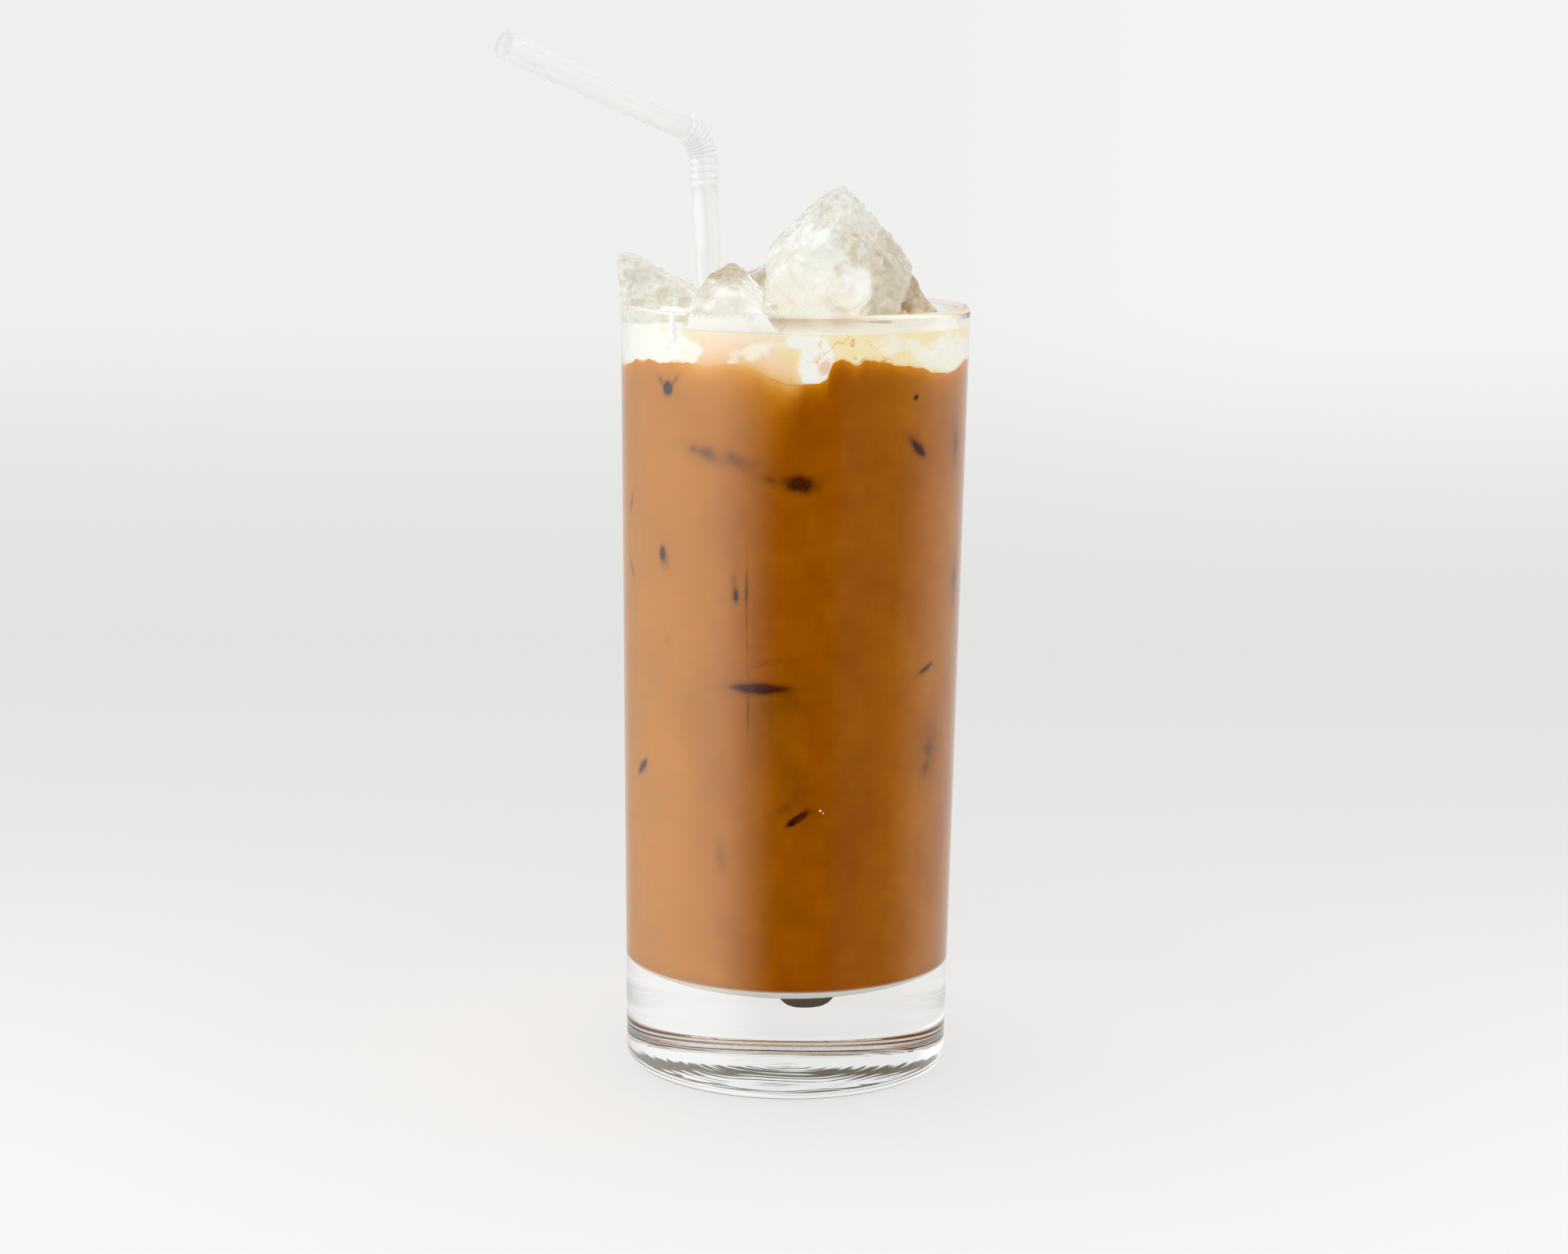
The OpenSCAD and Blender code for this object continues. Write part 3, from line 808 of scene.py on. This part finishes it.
# %% [markdown]
# ## The cream
#
# Cream floats on the coffee in a thin layer. Its edge is ragged, it is pure white
# where it was poured last, and coffee has drawn thin amber veins into the rest. From above it lies
# level, climbs a little at the wall and round each chunk of ice, and drops away under them.
# %% Shape of the cream
def cream_top(points):
    """Height of the cream's top: level, a small rise at the wall and at the ice, and a pocket
    inside each chunk."""
    x, y = points[..., 0], points[..., 1]
    from_wall = (inner_radius(LEVEL) - np.hypot(x, y)) / MM
    height = LEVEL - 0.35 * MM + 0.35 * MM * np.exp(-from_wall / 0.9)
    level_points = np.stack([x, y, 0 * x + LEVEL], -1)
    height = height + 0.06 * MM * ripples(level_points, 9 * MM, 31)
    for chunk in ICE.values():
        depth = (chunk.pull(level_points) - 1) * chunk.half / MM
        height = height + 0.25 * MM * np.exp(-np.maximum(depth, 0) / 0.7)
        height = height - 6 * MM * smooth(-depth, 0.1, 1.2) * smooth(from_wall, 0.9, 2.0)
    return np.minimum(height, LEVEL)


CREAM_BOTTOM = LAYER - 1.5 * MM
turns = circle(640)
degrees = np.degrees((turns + np.pi) % (2 * np.pi) - np.pi)
edge = layer_height(degrees)
reach = inner_radius(LEVEL) + INTO_WALL
share = np.linspace(0, 1, 30)[:, None]
wall_z = edge + share * (LEVEL - edge)
under_share = np.array([[0.3], [0.75], [0.96]])
top_share = 1 - np.linspace(0, 1, 100, endpoint=False)[1:, None] ** 1.15
wall_rows = ring(inner_radius(wall_z) + INTO_WALL + 0.02 * MM, wall_z, turns[None])
top_rows = ring(reach * top_share, LEVEL, turns[None])
top_rows[..., 2] = cream_top(top_rows)
under_rows = ring(reach * under_share, CREAM_BOTTOM, turns[None])
rows = np.concatenate([under_rows, wall_rows, top_rows])


# %% Colours of the cream
WHITE = (1.0, 0.975, 0.89)
CREAM = (1.0, 0.82, 0.46)
BEIGE = (0.98, 0.86, 0.69)
PALE_CREAM = (1.0, 0.96, 0.87)
VEIN = (0.74, 0.38, 0.06)


def blob(turn, z, at, size, soft, uneven):
    """A patch round (turn, height in mm) of a half width in degrees and a half height in mm."""
    far = np.hypot((turn - at[0]) / size[0], (z - at[1]) / size[1]) + uneven
    return smooth(-far, -1 - soft, -1 + soft)


def cream_colour(points):
    """Colour of the cream: warm cream, white patches, beige where ice lies near, amber veins."""
    x, y, z = np.moveaxis(points, -1, 0)
    turn, z = np.degrees(np.arctan2(x, -y)), z / MM
    uneven = 0.16 * rough(points, 6 * MM, 51)
    fine = rough(points * (1, 1, 1.6), 3.2 * MM, 52)
    colour = mixed(CREAM, BEIGE, np.clip(0.5 + 0.5 * fine, 0, 1) * 0.4)
    colour = mixed(colour, BEIGE, 0.8 * blob(turn, z, (-21, 144), (21, 8), 0.15, uneven))
    from_wall = (inner_radius(points[..., 2]) - np.hypot(x, y)) / MM
    inner_share = smooth(from_wall, 0.05, 0.6) * np.clip(0.95 + 0.3 * fine, 0.5, 1)
    colour = mixed(colour, PALE_CREAM, inner_share)
    slant = z - 0.16 * (turn + 12)
    streak = blob(turn, slant, (-12, 143.6), (11, 1.0), 0.5, uneven * 3 + 0.35 * fine)
    patches = [
        blob(turn, z, (-66, 143), (31, 4.0), 0.1, uneven),
        blob(turn, z, (-39, 142.4), (7, 2.3), 0.12, uneven),
        blob(turn, z, (6.8, 141.6), (5.6, 4.6), 0.08, uneven * 0.5),
        blob(turn, z, (1.5, 145), (5, 1.2), 0.25, uneven * 2),
        0.75 * streak,
        0.85 * blob(turn, z, (63, 142), (20, 3.4), 0.25, uneven),
        0.7 * blob(turn, z, (150, 143), (50, 3.5), 0.3, uneven),
        0.6 * blob(turn, z, (34, 144.6), (10, 1.3), 0.4, uneven * 2),
    ]
    for patch in patches:
        colour = mixed(colour, WHITE, patch)
    notch = blob(turn, z, (10.2, 140.6), (1.7, 1.1), 0.5, uneven * 2)
    colour = mixed(colour, AMBER, 0.5 * notch)
    line = np.abs(rough(points * (1, 1, 0.8), 6 * MM, 53, 4))
    veined = 1.3 * blob(turn, z, (19, 143), (11, 4), 0.4, uneven) + 0.35 * smooth(fine, -0.2, 1)
    veins = smooth(-line, -0.12, -0.015) * veined
    colour = mixed(colour, VEIN, np.clip(veins, 0, 1) * 0.8)
    above_edge = z - layer_height(turn) / MM
    wide = melting(turn)
    seep = np.exp(-np.maximum(above_edge, 0) / (0.3 + 2.8 * wide)) * (1 - 0.85 * np.clip(sum(patches), 0, 1))
    return mixed(colour, mixed(AMBER, HONEY, wide), (0.45 + 0.5 * wide) * seep)


tint = cream_colour(rows.reshape(-1, 3))
centre = np.array([[0, 0, CREAM_BOTTOM], [0, 0, float(cream_top(np.zeros(3)))]])
tint = np.vstack([tint, np.tile(CREAM, (2, 1))])
paint = {"tint": opaque(tint)}
cream = skin("cream_layer", rows, centre[0], centre[1], paint=paint)

material, start = new_material("poured cream")
where = places(start)
stretched = where.node("ShaderNodeMapping", None, {"Vector": where, "Scale": (1, 1, 1.4)})
cloud = stretched.noise(260, 4, 0.6, 1.5)
tone = attribute(start, "tint", "Color")
tone = cloud.rise(0.5, 0.85, 0, 0.22).between(tone, (*VEIN, 1))
body = principled(
    start, Base_Color=tone, Roughness=0.28, Specular_IOR_Level=0.25, Subsurface_Weight=0.2,
    Subsurface_Radius=(1.0, 0.8, 0.6), Subsurface_Scale=0.001, Normal=where.noise(500, 2).bump(0.1, 0.0004),
)
dress(cream, finish_material(material, body), "cream", "cream")

# %% [markdown]
# ## The ice over the rim
#
# The chunks that stand out of the drink are wet, cracked and full of fine bubbles. Their shapes
# are the model's own, finer, with relief: broad melted dents all over, and a crust of pits and
# ridges where the ice is frosted.
# %% Shapes with relief
def make_ice(name, n, k, crust, brown_tone, seed):
    """The chunk's surface, moved in along its own ways by melted dents, and roughened by dimples
    where crust(points) is near 1. Below the drink's level it stays behind the drink."""
    chunk = ICE[name]
    rows, ways = chunk.rows(n, k)
    dents = 0.28 * rough(rows, 9 * MM, seed, 2) + 0.12 * rough(rows, 3.1 * MM, seed + 7, 2)
    frost = np.clip(crust(rows), 0, 1)
    brown = np.clip(brown_tone(rows), 0, 1)
    dimples = ripples(rows, 2.2 * MM, seed + 11, 22)
    pits = smooth(dimples, 0.2, 1.0)
    depth = (dents - 0.35 + frost * (0.34 * np.abs(dimples) - 0.45 * pits - 0.1)) * MM
    rows = rows + ways * depth[..., None]
    far = np.hypot(rows[..., 0], rows[..., 1])
    contact = smooth(far - inner_radius(rows[..., 2]), -0.5 * MM, -0.05 * MM) * (rows[..., 2] < TALL - LIP)
    above = smooth(rows[..., 2], LEVEL - 0.1 * MM, LEVEL + 0.2 * MM)
    rows = keep_inside(rows, INTO_WALL + (0.28 * above - 0.22) * MM)
    paint = {"frost": frost, "pits": frost * pits, "brown": brown, "contact": contact}
    paint = {key: np.concatenate([value[1:-1].ravel(), value[[0, -1], 0]]) for key, value in paint.items()}
    return skin("ice_" + name + "_chunk", rows[1:-1], rows[0, 0], rows[-1, 0], paint=paint)


def beside(points, name):
    """Distance in mm to the right of the chunk's middle, and height in mm over the rim."""
    return (points[..., 0] - ICE[name].middle[0]) / MM, (points[..., 2] - TALL) / MM


def big_crust(points):
    """Frost on the upper right of the large chunk, and a thinner crust along its left ridge."""
    side, over = beside(points, "big")
    uneven = 2.5 * rough(points, 8 * MM, 71)
    return smooth(side * 0.75 + over * 0.55 + uneven, 4.5, 8.5) + 0.7 * smooth(over + uneven, 15.5, 19)


def big_stain(points):
    """A light stain of coffee on the right of the large chunk, and in patches."""
    side, over = beside(points, "big")
    right = smooth(side + rough(points, 5 * MM, 75), 5, 12)
    return 0.35 * right + 0.15 * smooth(rough(points, 9 * MM, 76), 0, 1)


def left_crust(points):
    """Frost all over the left chunk, thicker in patches."""
    return 0.45 + 0.55 * smooth(rough(points, 5 * MM, 72), -0.3, 0.6)


def left_stain(points):
    return 0.35 * smooth(rough(points, 4 * MM, 77), -0.1, 0.9)


def thin_crust(points):
    """Frost in thin patches."""
    return 0.25 * smooth(rough(points, 5 * MM, 73), 0.2, 0.9)


def no_crust(points):
    return 0 * points[..., 0]


def right_stain(points):
    return 1.0 + 0.2 * rough(points, 8 * MM, 78, 2)


def back_stain(points):
    return 0.55 + 0.3 * rough(points, 8 * MM, 79, 2)


def front_crust(points):
    """A crusted edge down the right of the chunk at the front wall."""
    side, over = beside(points, "front")
    return smooth(side + 0.9 * rough(points, 4 * MM, 74), 4.0, 6.5) * smooth(over, -1.5, 0.5)


def front_stain(points):
    """Coffee on the ridge and the top left face, and on the crusted edge."""
    side, over = beside(points, "front")
    ridge = smooth(over - 0.35 * np.abs(side + 1) + 0.6 * rough(points, 4 * MM, 80), 3.6, 6.0)
    slope = smooth(-side + 0.5 * rough(points, 3 * MM, 81), 2.5, 5.5) * smooth(over, 1.0, 3.5)
    specks = front_crust(points) * smooth(rough(points, 1.6 * MM, 82), -0.2, 0.7)
    return 0.85 * ridge + 0.55 * slope + 0.8 * specks


ice_pieces = {
    "big": make_ice("big", 360, 220, big_crust, big_stain, 81),
    "right": make_ice("right", 200, 120, no_crust, right_stain, 82),
    "left": make_ice("left", 260, 150, left_crust, left_stain, 83),
    "front": make_ice("front", 260, 160, front_crust, front_stain, 84),
    "back": make_ice("back", 180, 110, thin_crust, back_stain, 85),
}


# %% [markdown]
# Clear ice bends light a little less than water does. Frost and trapped air scatter it, which reads
# as white. So the material mixes a clear surface and a milky one by the frost painted on
# the points and by a cloudy pattern inside, and a stain of coffee darkens it where it has run. A
# coat that reflects more than ice does stands for the film of melt water.
# %% Wet, frosted ice
def ice_material(name, haze, crisp, seed):
    """Wet ice: haze is the share of milkiness, crisp the strength of its relief, and seed the
    place of the chunk in the pattern."""
    material, start = new_material(name)
    where = places(start)
    shifted = where.node("ShaderNodeMapping", None, {"Vector": where, "Location": (seed, 0, 0)})
    frost = attribute(start, "frost")
    brown = attribute(start, "brown")
    contact = attribute(start, "contact")
    pits = attribute(start, "pits")
    clouds = shifted.noise(120, 3, 0.55, 0.8)
    cracks = shifted.noise(330, 5, 0.68, 1.6)
    dimples = {"Vector": shifted, "Scale": 400, "Smoothness": 0.15}
    cells = shifted.node("ShaderNodeTexVoronoi", {"feature": "SMOOTH_F1"}, dimples)
    milk = (clouds.rise(0.4, 0.62) * (1 - frost * 0.6) * 0.7 + contact * 0.6 + brown * 0.2 + haze).least(1.0)
    tone = cracks.rise(0.3, 0.7).between((0.985, 1.0, 0.965, 1), (0.965, 0.96, 0.88, 1))
    tone = (brown * cracks.rise(0.3, 0.62, 0.6, 1.0)).between(tone, (0.42, 0.28, 0.12, 1))
    tone = contact.between(tone, (1.0, 0.95, 0.85, 1))
    run_in = brown * cracks.rise(0.25, 0.6, 0.35, 1.0)
    tint = run_in.between((0.982, 0.998, 0.955, 1), (0.52, 0.41, 0.25, 1))
    grain = shifted.noise(1700, 3, 0.7)
    # Painted shade: the pits of the frost and the middles of its dimple cells are darkened to a dull gold,
    # as shade in the hollows
    shaded_hollows = (pits * 0.35 + cells.rise(0.5, 0.2) * frost * 0.5).least(1.0)
    tint = shaded_hollows.between(tint, (0.66, 0.54, 0.36, 1))
    tone = shaded_hollows.between(tone, (0.80, 0.71, 0.55, 1))
    relief = cracks * (frost * 0.7 + 0.2) + cells * (frost * 1.6 + 0.05) + grain * (frost * 0.04 + 0.01)
    milky = principled(start, Base_Color=tone, Roughness=0.12, IOR=1.31,
                       Normal=relief.bump(crisp * 0.45, 0.0014), Subsurface_Weight=0.4,
                       Subsurface_Radius=(1.0, 0.97, 0.9), Subsurface_Scale=0.003)
    bumps = relief.bump(crisp, 0.0014)
    glassy = principled(start, Base_Color=tint, Roughness=0.015, IOR=1.31, Transmission_Weight=1.0,
                        Normal=bumps, Coat_Weight=1.0, Coat_IOR=1.6, Coat_Roughness=0.04)
    ice = start.blend(milk, glassy, milky)
    return finish_material(material, clear(start, ice, (0.97, 0.965, 0.95)))


# Share of haze, strength of the relief, and where in the pattern the chunk lies
looks = {
    "big": (0.25, 0.9, 0.0), "right": (0.15, 0.15, 0.1), "left": (0.22, 0.7, 0.2),
    "front": (0.35, 0.25, 0.3), "back": (0.25, 0.6, 0.4)}
for name, (haze, crisp, seed) in looks.items():
    dress(ice_pieces[name], ice_material(f"wet ice {name}", haze, crisp, seed), "ice", "ice_" + name)

# %% [markdown]
# ## Drops on the rim
#
# Melt water runs over the rim where the ice lies on it: a bead on the lip and a short run down the
# outside. They are drops, flattened against the glass. Two crumbs of milk fat float in the coffee.
# %% Beads and runs of water, and crumbs
def drop(name, middle, sizes, turn, n=28, k=16, seed=0):
    """A drop with half sizes along the wall, out of it and up, turned to a place on the wall."""
    ways = all_ways(n, np.linspace(-90, 90, k)[1:-1, None])
    ways = np.concatenate([ways.reshape(-1, 3), [[0, 0, -1], [0, 0, 1]]])
    ways = ways * (1 + 0.12 * ripples(ways, 1.6, seed))[:, None] * np.array(sizes) * MM
    c, s = math.cos(math.radians(turn)), math.sin(math.radians(turn))
    points = np.array(middle) + ways @ np.array([[c, s, 0], [-s, c, 0], [0, 0, 1]])
    rows = points[:-2].reshape(k - 2, n, 3)
    return skin(name, rows, points[-2], points[-1])


def on_wall(turn, z, past):
    """A point at a turn in degrees and height in mm, past the glass's outside by past mm."""
    return way(turn, 0) * (outer_radius(z * MM) + past * MM) + (0, 0, z * MM)


def in_coffee(turn, z):
    """A point at a turn in degrees and height in mm, just inside the wall."""
    return way(turn, 0) * (inner_radius(z * MM) - 0.05 * MM) + (0, 0, z * MM)


water = [
    drop("rim_run", on_wall(-43, 147.3, 0.02), (0.9, 0.42, 2.7), -43, seed=1),
    drop("rim_run_foot", on_wall(-42.8, 145.2, 0.05), (1.15, 0.55, 1.0), -43, seed=2),
]
material, start = new_material("melt water")
where = places(start)
body = principled(start, Base_Color=(1, 1, 1, 1), Roughness=0.0, IOR=1.33, Transmission_Weight=1.0,
                  Normal=where.noise(300, 2).bump(0.1, 0.0005))
white = principled(start, Base_Color=(1, 0.995, 0.98, 1), Roughness=0.03)
body = start.blend(0.4, body, white)
melt = finish_material(material, clear(start, body, (0.98, 0.98, 0.98)))
for piece in water:
    dress(piece, melt, "ice")

beads = [
    drop("rim_bead_1", on_wall(-47, 150.1, -0.9), (1.7, 1.0, 0.62), -47, seed=3),
    drop("rim_bead_2", on_wall(-42.8, 150.15, -0.85), (1.6, 1.0, 0.6), -42.8, seed=4),
    drop("rim_bead_3", on_wall(-39.2, 149.9, -0.7), (1.4, 0.9, 0.75), -39.2, seed=5),
    drop("milk_crumb_1", in_coffee(11, 57), (0.35, 0.2, 0.28), 11, 16, 10, 6),
    drop("milk_crumb_2", in_coffee(12, 56.5), (0.2, 0.2, 0.2), 12, 16, 10, 7),
]
material, start = new_material("wet milk")
tone = places(start).noise(800, 3).between((1.0, 0.98, 0.94, 1), (0.97, 0.92, 0.82, 1))
body = principled(start, Base_Color=tone, Roughness=0.08, Subsurface_Weight=0.3,
                  Subsurface_Radius=(1.0, 1.0, 0.9), Subsurface_Scale=0.001)
wet_milk = finish_material(material, body)
for piece in beads:
    dress(piece, wet_milk, "cream")

# %% [markdown]
# ## The straw
#
# A clear straw of drawn plastic, with a stretch of pressed rings where it bends. The route is a
# straight stem, a round bend and a straight arm in one plane. A profile of radius along the route,
# carried round it, gives the outside, and the same less the wall gives the inside. Three stripes
# run along it, a little milkier than the rest: painted sheen, in place of the bright streaks that
# light draws along a clear tube.
# %% Route and rings of the straw
TUBE = 2.58 * MM
TUBE_WALL = 0.3 * MM
RING_RISE = 0.4 * MM
PITCH = 1.46 * MM
BEND = 6.5 * MM
STRAIGHT_RINGS, BENT_RINGS = 4, 8
FLEX_ABOVE = 21.4 * MM
foot_at = np.array([-7.9, 6.0]) * MM
FOOT_GAP = 0.5 * MM
foot_height = FLOOR - DISH + DISH * ((np.hypot(*foot_at) + TUBE) / DISH_RADIUS) ** 2 + FOOT_GAP
foot = np.array([*foot_at, foot_height])
stem_way = np.array([-16.6 * MM, 12 * MM, TALL]) - foot
stem_way /= np.linalg.norm(stem_way)
arm_way = way(-53, 20)
across = np.cross(stem_way, arm_way)
across /= np.linalg.norm(across)
bend_angle = math.acos(float(stem_way @ arm_way))
flex_from = (TALL + FLEX_ABOVE - foot_height) / stem_way[2]
straight_flex = STRAIGHT_RINGS * PITCH
bend_from = flex_from + straight_flex
bend_to = bend_from + BEND * bend_angle
ARM = 43.95 * MM


def straw_route(s):
    """Middle and heading of the straw a distance s along it."""
    inward = np.cross(across, stem_way)
    angle = np.clip((s - bend_from) / BEND, 0, bend_angle)[:, None]
    heading = stem_way * np.cos(angle) + inward * np.sin(angle)
    turn_at = foot + stem_way * bend_from + inward * BEND
    bent = turn_at + BEND * (stem_way * np.sin(angle) - inward * np.cos(angle))
    before = np.minimum(s - bend_from, 0)[:, None] * stem_way
    after = np.maximum(s - bend_to, 0)[:, None] * arm_way
    return bent + before + after, heading


def ring_profile(s):
    """Radius along the straw: the tube, and rounded rings with narrow grooves on the flex part."""
    straight = (s - flex_from) / PITCH
    bent = STRAIGHT_RINGS + (s - bend_from) / (bend_to - bend_from) * BENT_RINGS
    count = np.where(s < bend_from, straight, bent)
    wave = np.abs(np.sin(np.pi * count)) ** 0.7
    on_flex = (s > flex_from) & (s < bend_to)
    return TUBE + np.where(on_flex, wave * RING_RISE * 1.12 - 0.12 * RING_RISE, 0)


s = np.concatenate([
    np.linspace(0, flex_from, 60, endpoint=False), np.linspace(flex_from, bend_to, 12 * 16, endpoint=False),
    np.linspace(bend_to, bend_to + ARM, 40)])
middle, heading = straw_route(s)
turns = circle(48)[None, :, None]
second = np.cross(heading, across)
spokes = across * np.cos(turns) + second[:, None] * np.sin(turns)
radius = ring_profile(s)[:, None, None]
outer = middle[:, None] + spokes * radius
inner = middle[:, None] + spokes * (radius - TUBE_WALL)
pressed = np.repeat(((s > flex_from) & (s < bend_to)).astype(float)[:, None], outer.shape[1], 1)
# Painted sheen: three stripes round the tube, which make the straw milkier along them
sheen_stripe_mask = np.repeat(smooth(np.cos(3 * circle(48) + 0.6), 0.1, 0.9)[None], len(s), 0)
straw = skin("bendy_straw", np.concatenate([outer, inner[::-1]]), loop=True,
             paint={"rings": np.concatenate([pressed, pressed[::-1]]).ravel(),
                    "sheen_stripes": np.concatenate([sheen_stripe_mask, sheen_stripe_mask]).ravel()})

material, start = new_material("clear drawn plastic")
where = places(start)
drawn = where.noise(150, 2)
body = principled(start, Base_Color=(1.0, 1.0, 1.0, 1), Roughness=0.04, IOR=1.12,
                  Transmission_Weight=1.0, Coat_Weight=1.0, Coat_IOR=1.5, Coat_Roughness=0.05,
                  Normal=drawn.bump(0.04, 0.0005))
# Painted light: the milky part glows faintly, so that it stays white
milky = principled(start, Base_Color=(1.0, 1.0, 1.0, 1), Roughness=0.12, IOR=1.5,
                   Emission_Color=(0.97, 0.985, 1.0, 1), Emission_Strength=0.025)
milk = attribute(start, "rings") * 0.1 + attribute(start, "sheen_stripes") * 0.2 + 0.4
body = start.blend(milk, clear(start, body, (0.95, 0.95, 0.95)), milky)
dress(straw, finish_material(material, body), "straw", "straw")
